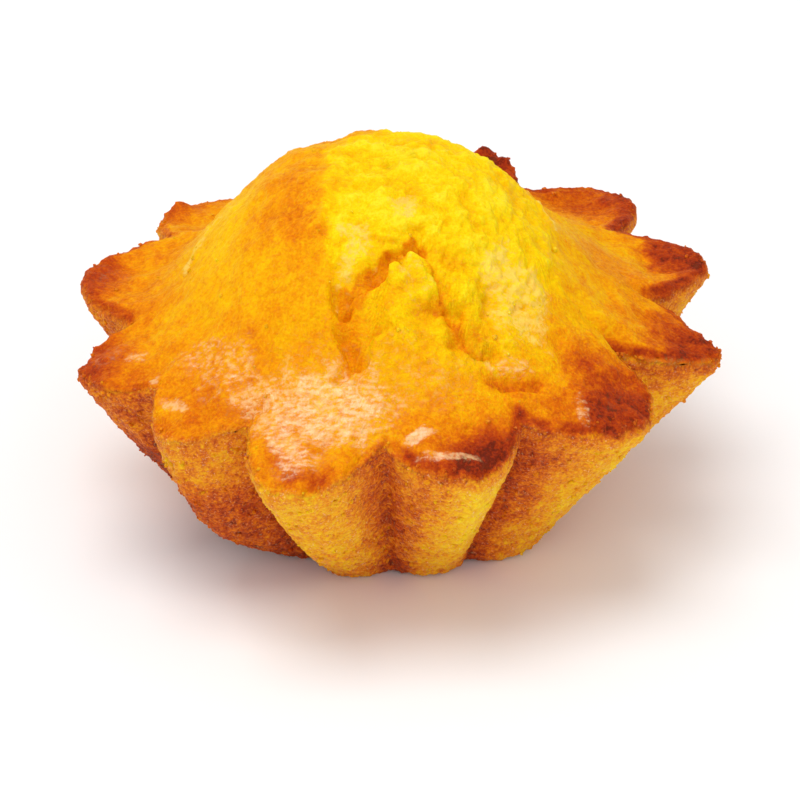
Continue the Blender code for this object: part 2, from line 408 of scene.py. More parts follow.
def topHeight(x, y, inset, rimHeight):
    # the crust's height: the skirt and dome, everything torn or raised, and a gentle unevenness
    wobbleX, wobbleY = wander(x, y, 2.2, 41)
    fineX, fineY = wander(x, y, 1.0, 43)
    broad, fine = split["stray"]
    tx = x + broad * wobbleX + fine * fineX
    ty = y + broad * wobbleY + fine * fineY
    out = np.hypot(x, y)
    fromDome = np.hypot(x - body["domeLean"] * smoothStep(34.0, 18.0, out), y)
    level = body["rimHeight"]
    atRim = rimHeight - level - domeHeight(out + inset)
    skirt = level + domeHeight(fromDome) + atRim * smoothStep(body["rimLift"], 0.0, inset)
    torn = tornFlap(x + 0.5 * wobbleX + 0.3 * fineX, y + 0.3 * wobbleY + 0.2 * fineY)
    torn += crustPlate(tx, ty) - crevices(tx, ty) + smallRidges(tx, ty) + knobHeights(x, y)
    gentle = sum(swell["rise"] * wave(x, y, swell["one"]) * wave(x, y, swell["other"]) for swell in swells)
    return skirt + torn + gentle * smoothStep(0.0, 6.0, inset)


def topRow(share, columns):
    # one ring of the top: its points, how far each is from the rim, and the wall's tone below it
    rim, alongX, alongY = rimAt(columns)
    evened = between(rim["radius"], rimTable["radius"].mean(), smoothStep(*body["evened"], share))
    x = evened * share * alongX
    y = evened * share * alongY
    inset = rim["radius"] * (1.0 - share)
    droop = rim["round"] * np.exp(-inset / (body["droop"] * rim["round"]))
    z = topHeight(x, y, inset, rim["height"]) - droop
    return np.stack([x, y, z], axis=1), inset, rim["tone"]


def wallRows():
    # rings of points from the flat base, round the foot and up to just under the crust's edge
    rim, alongX, alongY = rimAt(body["columns"])
    radius = rim["radius"]
    cut = (radius.max() - radius) / np.ptp(radius)
    footRadius = body["baseRadius"] - body["baseCut"] * cut + rim["foot"]

    def footAt(turn):
        up = body["footRound"] * (1.0 - math.cos(turn))
        return footRadius - body["footRound"] * (1.0 - math.sin(turn)), up + 0.0 * radius

    lean = math.radians(body["footTurn"])
    lines = [footAt(lean * k / body["footRows"]) for k in range(body["footRows"])]
    lowRadius, lowHeight = footAt(lean)
    highRadius = radius - body["edgeIn"] * rim["round"]
    highHeight = rim["height"] - body["edgeDown"] * rim["round"]
    for k in range(body["wallRows"] + 1):
        t = k / body["wallRows"]
        bulge = rim["swell"] * math.sin(math.pi * t ** body["wallBelly"])
        lines.append((between(lowRadius, highRadius, t) + bulge, between(lowHeight, highHeight, t)))
    rows = [np.stack([out * alongX, out * alongY, up], axis=1) for out, up in lines]
    below = [row[:, 2] - rim["height"] for row in rows]
    return rows, below, rim


def edgeRows(lastWall, wallBefore, firstTop, topAfter, pull):
    # a smooth bend round the crust's edge, between the wall and the top
    up = lastWall - wallBefore
    up /= np.linalg.norm(up, axis=1, keepdims=True)
    out = firstTop - topAfter
    out /= np.linalg.norm(out, axis=1, keepdims=True)
    a = lastWall + up * body["wallPull"] * pull[:, None]
    b = firstTop + out * body["topPull"] * pull[:, None]
    rows = []
    for k in range(1, body["edgeRows"]):
        t = k / body["edgeRows"]
        s = 1.0 - t
        rows.append(s ** 3 * lastWall + 3 * s * s * t * a + 3 * s * t * t * b + t ** 3 * firstTop)
    return rows


def topShares():
    # where the top's rings lie, as shares of the way to the rim, with the number of points in each
    columns = body["columns"]
    zones = (
        (0.955, 0.62, 60, columns),
        (0.62, 0.31, 84, columns // 2),
        (0.31, 0.15, 30, columns // 4),
        (0.15, 0.05, 16, columns // 8),
    )
    shares = []
    for far, near, count, ringPoints in zones:
        shares += [(far + (near - far) * k / count, ringPoints) for k in range(count)]
    return shares


def joinRows(lowStart, lowCount, highStart, highCount):
    # triangles between two rings; the upper ring has as many points as the lower one, or half
    i = np.arange(lowCount)
    low = lowStart + i
    lowNext = lowStart + (i + 1) % lowCount
    if lowCount == highCount:
        high = highStart + i
        highNext = highStart + (i + 1) % highCount
        return np.concatenate([np.stack([low, lowNext, highNext], 1), np.stack([low, highNext, high], 1)])
    j = np.arange(highCount)
    a = highStart + j
    b = highStart + (j + 1) % highCount
    first = lowStart + 2 * j
    middle = first + 1
    last = lowStart + (2 * j + 2) % lowCount
    corners = ((first, middle, a), (middle, b, a), (middle, last, b))
    return np.concatenate([np.stack(corner, 1) for corner in corners])


def makeSkin():
    # the whole cake as one skin of rings, with what the finish needs to know at each point
    walls, below, rim = wallRows()
    tops = [topRow(share, ringPoints) for share, ringPoints in topShares()]
    rings = [(row, inset, rim["tone"], rim["collar"]) for row, inset in zip(walls, below)]
    seam = len(rings) + body["seamRow"]
    bend = edgeRows(walls[-1], walls[-2], tops[0][0], tops[1][0], rim["round"])
    for k, row in enumerate(bend):
        inset = between(below[-1], tops[0][1], (k + 1) / body["edgeRows"])
        rings.append((row, inset, rim["tone"], rim["collar"]))
    rings += [(row, inset, tone, tone) for row, inset, tone in tops]
    rows, insets, tones, collars = zip(*rings)
    counts = [len(row) for row in rows]
    starts = np.cumsum([0] + counts)
    faces = [joinRows(starts[k], counts[k], starts[k + 1], counts[k + 1]) for k in range(len(rows) - 1)]
    return {
        "points": np.concatenate(rows),
        "inset": np.concatenate(insets),
        "tone": np.concatenate(tones),
        "collar": np.concatenate(collars),
        "starts": starts,
        "faces": faces,
        "seam": seam,
    }


def normalsOf(points, faces):
    # a direction straight out of the skin at each point
    a, b, c = (points[faces[:, k]] for k in range(3))
    facing = np.cross(b - a, c - a)
    total = np.zeros_like(points)
    for k in range(3):
        for axis in range(3):
            total[:, axis] += np.bincount(faces[:, k], weights=facing[:, axis], minlength=len(points))
    return total / np.maximum(np.linalg.norm(total, axis=1, keepdims=True), 1e-12)


print("skin: laying out rings")
skin = makeSkin()
points = skin["points"]
allFaces = np.concatenate(skin["faces"])
print("skin:", len(points), "points,", len(allFaces), "triangles")


relief = {
    "wallGrain": 0.21,     # height of the crumb's grain on the tin side
    "crustGrain": 0.11,    # and on the smooth crust
    "crustSwell": 0.16,    # broad unevenness of the crust
    "tornLumps": 0.52,     # soft lumps of torn crumb
    "tornGrain": 0.17,     # and the fine grain on them
    "edgeCrumble": 0.34,   # broken edge of the crust
    "blisters": 0.34,      # low bubbles where the crust is brown
    "pitDepth": 0.34,      # of the pores in the tin side
    "pitShare": 0.28,      # share of the scattered points that become one
    "wrinkles": 0.16,      # fine folds in the crust left of the split
}


# how the browning of a lobe fades: along from its tip, to each side, and along its edge
lobeFade = {"halfWidth": 9.5, "tip": (1.15, 0.1), "edgeSides": (13.0, 8.0), "edgeLength": (14.0, 10.0)}


def lobeBrowning(x, y, inset):
    # browning spreads in from the tip of each lobe, and a little way in from its edge
    deepest = np.zeros(len(x))
    for rib in ribs:
        angle = math.radians(rib["angle"])
        along = rib["reach"] - x * math.cos(angle) - y * math.sin(angle)
        across = y * math.cos(angle) - x * math.sin(angle)
        away = np.maximum(along, 0.0) / rib["tipReach"] + 0.5 * (across / lobeFade["halfWidth"]) ** 2
        atTip = smoothStep(*lobeFade["tip"], away)
        atEdge = smoothStep(rib["edgeReach"], 0.3 * rib["edgeReach"], inset)
        atEdge *= smoothStep(*lobeFade["edgeSides"], np.abs(across))
        atEdge *= smoothStep(*lobeFade["edgeLength"], along)
        deepest = np.maximum(deepest, rib["baked"] * np.maximum(atTip, 0.9 * atEdge))
    return deepest


def makeFields():
    # where each point is, and how much of each kind of surface it is, from 0 to 1
    x, y, z = points.T
    inset = skin["inset"]
    fields = {"x": x, "y": y, "z": z, "out": np.hypot(x, y), "inset": inset}
    fields["top"] = smoothStep(-1.6, 0.8, inset + 0.6 * noise(points, 1.6, 50))
    fields["wall"] = 1.0 - fields["top"]
    wobbleX = noises(points, (1.0, 2.6, 51), (0.4, 0.9, 53))
    wobbleY = noises(points, (1.0, 2.6, 52), (0.4, 0.9, 54))
    fields["torn"] = tornMask(x + 1.8 * wobbleX, y + 1.8 * wobbleY) * fields["top"]
    fields["edge"] = np.exp(-(inset / 1.3) ** 2)
    px = x + 2.4 * noise(points, 6.0, 55) + 1.6 * wobbleX
    py = y + 2.4 * noise(points, 6.0, 56) + 1.6 * wobbleY
    plate = blur(px, py, split["plateOval"])
    fields["plate"] = plate * smoothStep(1.4, -1.4, x + 1.4 * wobbleX - plateEdgeAt(y)) * fields["top"]
    tx = x + 0.5 * wobbleX
    ty = y + 0.5 * wobbleY
    shade = crevices(tx, ty) - 0.9 * patch(tx, ty, split["hollow"])
    fields["deep"] = np.clip(shade / 1.25, 0.0, 1.0) * fields["top"]
    inward, along = flapShare(tx, ty)
    lip = smoothStep(-0.2, 0.5, inward) * smoothStep(2.6, 0.8, inward)
    lip *= smoothStep(-0.05, 0.02, along) * smoothStep(0.6, 0.1, along)
    fields["lip"] = lip * fields["top"]
    fields["flake"] = np.clip(smallRidges(tx, ty) / 0.5, 0.0, 1.0) * fields["top"]
    fields["brown"] = lobeBrowning(x, y, inset) * fields["top"]
    fields["around"] = np.degrees(np.arctan2(y, x)) % 360.0
    ragged = onStretch(fields["around"], *split["raggedRim"])
    fields["ragged"] = ragged * np.exp(-((inset + 0.2) / 0.9) ** 2)
    fields["lump"] = noises(points, (1.0, 3.2, 64), (0.7, 1.6, 65), (0.4, 0.9, 74))
    return fields


fields = makeFields()


def makeRelief():
    # how far each point is raised from the plain skin, and the fine grain by itself
    top, wall, torn, edge = fields["top"], fields["wall"], fields["torn"], fields["edge"]
    grain = noises(points, (1.0, 0.75, 61), (0.7, 0.42, 62))
    coarse = noise(points, 2.4, 63)
    height = relief["wallGrain"] * wall * (grain + 0.8 * coarse)
    height += relief["crustGrain"] * top * (1.0 - torn) * grain
    height += relief["crustSwell"] * top * (1.0 - torn) * (coarse + noise(points, 5.0, 68))
    bubble = dots(points, 3.0, 73)[0]
    height += relief["blisters"] * smoothStep(0.5, 0.15, bubble) * fields["brown"]
    height += torn * (relief["tornLumps"] * fields["lump"] + relief["tornGrain"] * grain)
    crumble = noises(points, (1.0, 1.0, 66), (0.6, 0.5, 67), (0.8, 2.4, 75))
    height += relief["edgeCrumble"] * (edge + 0.8 * fields["ragged"]) * crumble
    away, own = dots(points, 1.7, 71)
    pits = (own > 1.0 - relief["pitShare"]) * smoothStep(0.34, 0.12, away) * wall
    height -= relief["pitDepth"] * pits
    for pit in wallPits:
        across = np.radians(turnFrom(pit["around"], fields["around"])) * fields["out"]
        away = np.hypot(across, fields["z"] - pit["z"]) / pit["size"]
        height -= pit["depth"] * np.exp(-away ** 2) * wall
    stretched = points * (1.0, 0.22, 0.22)
    height += relief["wrinkles"] * fields["plate"] * noise(stretched, 0.42, 72)
    return height, grain


print("skin: raising crumb and crust")
height, grain = makeRelief()
normals = normalsOf(points, allFaces)
shaped = points + normals * height[:, None]
shaped[:, 2] = np.maximum(shaped[:, 2], 0.0)
shapedNormals = normalsOf(shaped, allFaces)


# how brown each part is, from 0 for pale lemon crumb to 1 for the darkest crust; in the crevices and
# between the torn crumb's lumps the darkening is painted shade
browningAndShade = {
    "golden": 0.37,       # the smooth crust
    "nearRim": 0.12,      # more of it near the rim
    "leftPlate": 0.17,    # more on the crust left of the split
    "behind": 0.10,       # more behind the top
    "lemonSides": 0.09,   # less there
    "mottle": 0.065,      # more and less in patches
    "torn": 0.13,         # the torn crumb
    "tornFoot": 0.18,     # more towards its foot
    "tornRight": 0.08,    # more at its right
    "tornLumps": 0.13,    # less on its lumps, so more between them as painted shade
    "tornMottle": 0.06,
    "lip": 0.10,          # less on the tongue's edge
    "lobeMottle": 0.10,
    "crevice": 0.50,      # at least this in the crevices, as painted shade
    "pressed": {"nick": (0.62, 1.1), "dip": (0.60, 2.4)},   # and along these lines, this wide
}
# where the golden crust is more lemon in colour
lemonSides = (
    oval(-22.0, 1.0, 9.0, 6.0, 100.0),
    oval(16.0, 2.0, 9.0, 6.0, 100.0),
)
# deeper browned spots of the crust, their strength being how brown
bakedSpots = (
    oval(-12.7, -35.6, 2.2, 1.5, 170.0, 0.78),
    oval(-9.2, -36.0, 2.0, 1.5, 0.0, 0.78),
    oval(20.0, -25.5, 8.0, 4.0, 35.0, 0.66),
    oval(7.5, -31.5, 6.0, 2.6, 15.0, 0.70),
    oval(27.0, 3.0, 8.0, 6.0, 20.0, 0.54),
    oval(24.0, 27.0, 12.0, 5.0, 160.0, 0.76),
    oval(-24.0, -23.0, 9.0, 6.0, 140.0, 0.60),
    oval(-31.5, -3.0, 6.0, 4.0, 10.0, 0.56),
    oval(-13.8, -33.6, 3.6, 1.5, 118.0, 0.66),
    oval(-32.0, -15.4, 3.4, 2.4, 30.0, 0.66),
    oval(-10.5, -36.0, 5.0, 2.4, 170.0, 0.60),
)


def bakedAndShadedTop():
    # the crust and the torn crumb: browner at the lobes and in the split, with painted shade in the
    # crevices and between the crumb's lumps, mottled all over
    x, y, out = fields["x"], fields["y"], fields["out"]
    mottle = noises(points, (1.0, 5.0, 81), (0.7, 2.2, 82), (0.5, 1.1, 85))
    golden = browningAndShade["golden"] + browningAndShade["nearRim"] * smoothStep(20.0, 33.0, out)
    golden += browningAndShade["mottle"] * mottle
    lemon = np.max([blur(x, y, side) for side in lemonSides], axis=0)
    behind = smoothStep(4.0, 11.0, y + 1.5 * mottle) * smoothStep(24.0, 16.0, out)
    golden += browningAndShade["leftPlate"] * fields["plate"] + browningAndShade["behind"] * behind
    golden -= browningAndShade["lemonSides"] * lemon
    yellow = browningAndShade["torn"] + browningAndShade["tornFoot"] * smoothStep(-11.0, -20.0, y)
    yellow += browningAndShade["tornRight"] * smoothStep(10.0, 17.0, x)
    yellow += browningAndShade["tornMottle"] * mottle - browningAndShade["tornLumps"] * fields["lump"]
    bake = between(golden, yellow, fields["torn"])
    bake = np.maximum(bake, browningAndShade["crevice"] * fields["deep"] ** 1.5) - browningAndShade["lip"] * fields["lip"]
    for name, (least, width) in browningAndShade["pressed"].items():
        bake = np.maximum(bake, least * lineBlur(x, y, ridges[name]["line"], width))
    for spot in bakedSpots:
        bake += np.maximum(spot["strength"] - bake, 0.0) * blur(x + 0.6 * mottle, y, spot)
    brown = lobeBrowning(x + 1.2 * mottle, y, fields["inset"])
    return np.maximum(bake, brown) + browningAndShade["lobeMottle"] * mottle * brown


# changes to the tin side's tone, added to each rib's; low at the front left it darkens, partly as
# painted shade under the lobes
wallBrowningAndShade = {
    "foot": 0.10,
    "mottle": 0.10,
    "frontLeft": 0.24,
    "frontLeftRound": (178.0, 200.0, 236.0, 246.0),   # degrees round the cake
    "frontLeftHigh": (19.0, 12.0),
}
# patches of the tin side, browner where the change is above 0 and paler where it is below
wallSpots = named(("around", "z", "wide", "tall", "change"), (
    # painted light: a paler strip down the lit face of a front rib
    (285.5, 15.0, 2.8, 9.0, -0.22),
    (277.0, 16.0, 3.0, 8.0, 0.10),
    (306.0, 15.0, 6.0, 10.0, 0.10),
    (331.0, 15.0, 5.0, 9.0, -0.05),
    (340.0, 24.0, 6.0, 2.6, 0.08),
    (225.0, 19.0, 4.0, 4.0, -0.04),
))


def bakedAndShadedWall():
    # the tin side: darker in the grooves, just below the crust, towards the foot and at the front left;
    # in the grooves and at the front left this is partly painted shade
    mottle = noises(points, (1.0, 4.5, 83), (0.8, 1.8, 84))
    below = -fields["inset"] + 1.2 * mottle
    collar = skin["collar"] * smoothStep(6.5, 1.0, below)
    frontLeft = onStretch(fields["around"], *wallBrowningAndShade["frontLeftRound"])
    frontLeft *= smoothStep(*wallBrowningAndShade["frontLeftHigh"], fields["z"] + 2.0 * mottle)
    bake = np.maximum(skin["tone"], collar) + wallBrowningAndShade["mottle"] * mottle
    bake += wallBrowningAndShade["foot"] * smoothStep(6.0, 1.0, fields["z"])
    for spot in wallSpots:
        across = np.radians(turnFrom(spot["around"], fields["around"])) * fields["out"] / spot["wide"]
        bake += spot["change"] * np.exp(-across ** 2 - ((fields["z"] - spot["z"]) / spot["tall"]) ** 2)
    return bake + wallBrowningAndShade["frontLeft"] * frontLeft


def makeBakeAndShade():
    # the whole skin's browning and painted shade, a little paler where the edge has crumbled
    bake = bakedAndShadedWall() * fields["wall"] + bakedAndShadedTop() * fields["top"]
    return np.clip(bake * (1.0 - 0.20 * fields["ragged"]), 0.0, 1.0)


# buttery shine: streaks and patches where the crust is glossier, and where a painted highlight of the light
# it reflects is mixed into its colour
glossAndHighlightSpots = (
    oval(-8.4, -28.4, 8.8, 4.6, 176.0, 0.66),
    oval(-15.4, -24.6, 5.0, 2.4, 160.0, 0.52),
    oval(-12.4, -31.8, 4.2, 2.6, 110.0, 0.62),
    oval(-21.0, -19.0, 7.0, 3.0, 145.0, 0.36),
    oval(2.2, -31.6, 2.3, 0.75, 28.0, 1.0),
    oval(5.4, -33.6, 3.9, 0.6, 3.0, 0.60),
    oval(2.0, -27.0, 7.0, 2.2, 5.0, 0.16),
    oval(-31.4, -12.4, 1.6, 1.1, 0.0, 0.45),
    oval(-34.6, -10.6, 3.6, 2.4, 20.0, 0.20),
    oval(-35.4, 6.4, 3.6, 2.4, 170.0, 0.16),
    oval(-29.2, -18.0, 2.4, 0.5, 65.0, 0.70),
    oval(-26.4, -21.6, 2.6, 0.7, 140.0, 0.70),
    oval(21.3, -24.4, 2.2, 0.8, 110.0, 0.50),
    oval(25.6, -21.6, 4.0, 1.6, 45.0, 0.10),
    oval(13.0, -22.0, 3.4, 1.2, 12.0, 0.40),
)
# pale spots: dry pale crumb, and painted highlight on the dome's right flank and on lumps of torn crumb
paleCrumbAndHighlightSpots = (
    oval(13.6, -14.5, 5.2, 4.2, 80.0, 0.66),
    oval(0.8, -9.5, 2.4, 1.8, 20.0, 0.66),
    oval(-5.4, -14.6, 3.2, 2.2, 60.0, 0.64),
    oval(1.6, -17.6, 2.8, 1.8, 90.0, 0.22),
    oval(1.0, -25.0, 9.0, 3.0, 5.0, 0.18),
    oval(-12.0, -24.0, 8.0, 3.0, 10.0, 0.20),
    oval(17.5, -5.0, 3.0, 2.0, 100.0, 0.12),
)


def makeSpots(spots, seed):
    # soft ovals with ragged outlines, less ragged where they are narrow
    total = np.zeros(len(points))
    aside = noises(points, (1.6, 3.4, seed), (0.7, 1.2, seed + 1))
    along = noises(points, (1.6, 3.4, seed + 2), (0.7, 1.2, seed + 3))
    for spot in spots:
        ragged = min(1.0, spot["wide"] / 2.4)
        inside = patch(fields["x"] + ragged * aside, fields["y"] + ragged * along, spot)
        total = np.maximum(total, spot["strength"] * inside)
    return total * smoothStep(-0.1, 0.8, fields["inset"])


# browning with painted shade, and gloss with painted highlight
print("skin: browning and glossWithPaintedHighlight")
fields["bake"] = makeBakeAndShade()
fields["gloss"] = makeSpots(glossAndHighlightSpots, 91)
brokenPale = np.maximum(0.8 * fields["flake"], 0.16 * fields["ragged"])
fields["pale"] = np.maximum(makeSpots(paleCrumbAndHighlightSpots, 95), brokenPale)
# the grain's height; the material paints its hollows browner and its tops paler, as shade
fields["rise"] = np.clip(0.5 + 0.35 * grain, 0.0, 1.0)


def putInScene(name, data):
    item = bpy.data.objects.new(name, data)
    bpy.context.scene.collection.objects.link(item)
    return item


def makeMesh(name, co, triangles, layers):
    # a piece from points in millimetres, with the finish's fields as attributes
    mesh = bpy.data.meshes.new(name)
    mesh.vertices.add(len(co))
    mesh.vertices.foreach_set("co", (co * mm).ravel())
    mesh.loops.add(3 * len(triangles))
    mesh.loops.foreach_set("vertex_index", triangles.ravel())
    mesh.polygons.add(len(triangles))
    mesh.polygons.foreach_set("loop_start", np.arange(len(triangles)) * 3)
    mesh.polygons.foreach_set("loop_total", np.full(len(triangles), 3))
    mesh.update(calc_edges=True)
    mesh.validate()
    mesh.shade_smooth()
    for key, values in layers.items():
        layer = mesh.attributes.new(key, "FLOAT", "POINT")
        layer.data.foreach_set("value", values.astype(np.float32))
    print("piece:", name, len(triangles), "triangles")
    return putInScene(name, mesh)


def makePiece(name, firstRing, lastRing, middles):
    # these rings as a mesh of their own, each open end closed onto a point
    starts = skin["starts"]
    first, last = starts[firstRing], starts[lastRing + 1]
    count = last - first
    lowCount = starts[firstRing + 1] - first
    highCount = last - starts[lastRing]
    i = np.arange(lowCount)
    j = np.arange(highCount)
    highStart = starts[lastRing] - first
    lowEnd = np.stack([(i + 1) % lowCount, i, np.full(lowCount, count)], 1)
    highEnd = np.stack([highStart + j, highStart + (j + 1) % highCount, np.full(highCount, count + 1)], 1)
    faces = np.concatenate(skin["faces"][firstRing:lastRing]) - first
    layers = {}
    for key in ("bake", "gloss", "pale", "rise", "wall"):
        values = fields[key][first:last]
        layers[key] = np.concatenate([values, values[:1], values[-1:]])
    co = np.concatenate([shaped[first:last], middles])
    piece = makeMesh(name, co, np.concatenate([faces, lowEnd, highEnd]), layers)
    facing = np.concatenate([shapedNormals[first:last], [(0.0, 0.0, -1.0), (0.0, 0.0, 1.0)]])
    piece.data.normals_split_custom_set_from_vertices(facing)
    return piece


crumbs = {
    "count": 2400,
    "smallest": 0.07,  # radius
    "largest": 0.30,
    "sunk": 0.40,      # share of its size that a crumb sinks in
    "uneven": 0.22,    # how knobbly each one is
    "lift": 0.02,      # least height over the floor
    "lighter": (0.02, 0.10),  # how much less browned than what it clings to
    "seed": 12,
    # how likely each kind of surface is to hold one
    "clingTo": {"wall": 0.5, "edge": 0.9, "ragged": 4.0, "flake": 0.9, "top": 0.04},
    "lowest": 0.8,     # none is seated below this height
    "middle": 20.0,    # nearer the axis points are denser, so fewer of them are picked
    "middleShare": 0.3,
}


def makeCrumbs():
    # loose crumbs and broken grains that cling to the tin side, the rim and the torn edges
    pick = np.random.default_rng(crumbs["seed"])
    likely = sum(share * fields[kind] for kind, share in crumbs["clingTo"].items())
    likely *= fields["z"] > crumbs["lowest"]
    likely *= np.where(fields["out"] > crumbs["middle"], 1.0, crumbs["middleShare"])
    chosen = pick.choice(len(points), crumbs["count"], replace=False, p=likely / likely.sum())
    bm = bmesh.new()
    bmesh.ops.create_icosphere(bm, subdivisions=2, radius=1.0)
    ball = np.array([vert.co[:] for vert in bm.verts])
    ballFaces = np.array([[vert.index for vert in face.verts] for face in bm.faces])
    bm.free()
    size = between(crumbs["smallest"], crumbs["largest"], pick.random(len(chosen)) ** 3)
    stretch = 0.65 + 0.7 * pick.random((len(chosen), 1, 3))
    turns = np.linalg.qr(pick.normal(size=(len(chosen), 3, 3)))[0]
    turns *= np.sign(np.linalg.det(turns))[:, None, None]
    bumpy = 1.0 + crumbs["uneven"] * pick.normal(size=(len(chosen), len(ball), 1)).clip(-1.5, 1.5)
    grains = np.einsum("nij,nkj->nki", turns, ball[None] * stretch * bumpy) * size[:, None, None]
    seat = shaped[chosen] + shapedNormals[chosen] * (size * (1.0 - 2.0 * crumbs["sunk"]))[:, None]
    co = (grains + seat[:, None, :]).reshape(-1, 3)
    co[:, 2] = np.maximum(co[:, 2], crumbs["lift"])
    triangles = (ballFaces[None] + len(ball) * np.arange(len(chosen))[:, None, None]).reshape(-1, 3)
    lighter = between(*crumbs["lighter"], pick.random(len(chosen)))
    layers = {
        "bake": np.repeat(np.clip(fields["bake"][chosen] - lighter, 0.0, 1.0), len(ball)),
        "gloss": np.zeros(len(co)),
        "pale": np.repeat(0.08 * pick.random(len(chosen)), len(ball)),
        "rise": np.full(len(co), 0.6),
        "wall": np.full(len(co), 0.6),
    }
    return makeMesh("cake_crumbs", co, triangles, layers)


class Wire:
    # a socket in a material, so that shader maths reads as plain sums
    def __init__(self, tree, socket):
        self.tree = tree
        self.socket = socket

    def node(self, kind, settings, inputs, output=0):
        made = self.tree.nodes.new(kind)
        for name, value in settings.items():
            if name == "stops":
                setStops(made.color_ramp, value)
            else:
                setattr(made, name, value)
        for name, value in inputs.items():
            if isinstance(value, Wire):
                self.tree.links.new(value.socket, made.inputs[name])
            else:
                made.inputs[name].default_value = value
        return Wire(self.tree, made.outputs[output])

    def maths(self, operation, first, second, clamp=False):
        settings = {"operation": operation, "use_clamp": clamp}
        return self.node("ShaderNodeMath", settings, {0: first, 1: second})

    def __add__(self, other):
        return self.maths("ADD", self, other)

    __radd__ = __add__

    def __sub__(self, other):
        return self.maths("SUBTRACT", self, other)

    def __rsub__(self, other):
        return self.maths("SUBTRACT", other, self)

    def __mul__(self, other):
        return self.maths("MULTIPLY", self, other)

    __rmul__ = __mul__

    def clamped(self):
        return self.maths("ADD", self, 0.0, clamp=True)

    def ramp(self, low, high):
        # 0 below low, 1 above high, and smooth between
        settings = {"interpolation_type": "SMOOTHSTEP"}
        return self.node("ShaderNodeMapRange", settings, {0: self, 1: low, 2: high})


def setStops(ramp, stops):
    # a ramp's stops, each a place from 0 to 1 and a colour
    while len(ramp.elements) > 1:
        ramp.elements.remove(ramp.elements[-1])
    ramp.elements[0].position, ramp.elements[0].color = stops[0]
    for position, colour in stops[1:]:
        ramp.elements.new(position).color = colour


def paint(red, green, blue):
    # a colour as a paint program shows it, turned into light
    shares = [value / 255.0 for value in (red, green, blue)]
    light = [share / 12.92 if share < 0.0405 else ((share + 0.055) / 1.055) ** 2.4 for share in shares]
    return (*light, 1.0)


# the crumb's and the crust's colour, as they brown
bakeStops = (
    (0.00, paint(255, 222, 36)),   # torn crumb
    (0.10, paint(253, 212, 6)),
    (0.20, paint(250, 199, 0)),
    (0.36, paint(242, 174, 0)),    # golden crust
    (0.50, paint(235, 145, 0)),
    (0.64, paint(217, 110, 2)),    # deep orange
    (0.80, paint(186, 70, 10)),    # red brown
    (0.92, paint(156, 48, 14)),
    (1.00, paint(112, 34, 14)),
)

# the material's settings, with the colours of pale spots, of bright grains with painted glints, and of
# painted highlight
finish = {
    "paleColour": paint(253, 214, 100),
    "grainAndGlintColour": paint(255, 218, 164),
    "paintedHighlightColour": paint(253, 208, 145),
    "roughness": 0.55,
    "glossRoughness": 0.24,
    "bumpStrength": 0.8,
    "bumpHeight": 0.42 * mm,
    "palest": 0.06,            # dry paleness that every part has
    "paleShare": 0.75,         # the most that the pale spots (partly painted highlight) and the painted shine cover
    "paintedHighlightShare": 0.62,
    "grainAndGlintOnTop": 0.06,        # bright grains and painted glints on the crust, and more on the tin side
    "grainAndGlintOnWall": 0.50,
    "streakSize": 0.55,        # the shine's streaks, glossier and painted as highlight, and how they are drawn out
    "streakDrawn": (0.4, 1.0, 1.0),
    "paleFrom": (0.54, 0.78),  # where pale specks, grains with painted glints, and painted shine streaks start and are full
    "grainAndGlintFrom": (0.56, 0.70),
    "shineAndHighlightFrom": (0.54, 0.80),
    "spotFrom": (0.02, 0.40),
}
# what is the same all over; light soaks into the crumb, red the furthest
plainFinish = {
    "Coat Roughness": 0.2,
    "Specular IOR Level": 0.05,
    "Subsurface Weight": 0.35,
    "Subsurface Radius": (1.0, 0.36, 0.08),
    "Subsurface Scale": 1.0 * mm,
}
# sizes in millimetres of the unevenness that the finish adds, from wide patches to fine grit
grainSizes = {"broad": 3.0, "patchy": 1.7, "small": 0.9, "tiny": 0.34, "grit": 0.24, "fine": 0.16}
# how much each changes the browning on the crust, and how much more on the tin side
mottling = {"broad": (0.16, 0.0), "patchy": (0.12, 0.22), "small": (0.26, 0.18), "tiny": (0.36, 0.34)}


def mixColours(share, first, second):
    # the first colour where the share is 0 and the second where it is 1
    return share.node("ShaderNodeMix", {"data_type": "RGBA"}, {0: share, 6: first, 7: second}, 2)


def fieldOf(wire, name):
    return wire.node("ShaderNodeAttribute", {"attribute_name": name}, {}, 2)


def grainOf(wire, size, stretch=(1.0, 1.0, 1.0)):
    # noise with features of that size in millimetres, drawn out along an axis where stretch is below 1
    place = wire.node("ShaderNodeTexCoord", {}, {}, 3)
    place = wire.node("ShaderNodeVectorMath", {"operation": "MULTIPLY"}, {0: place, 1: stretch})
    return wire.node("ShaderNodeTexNoise", {}, {"Vector": place, "Scale": 1.0 / (size * mm), "Detail": 2.0})


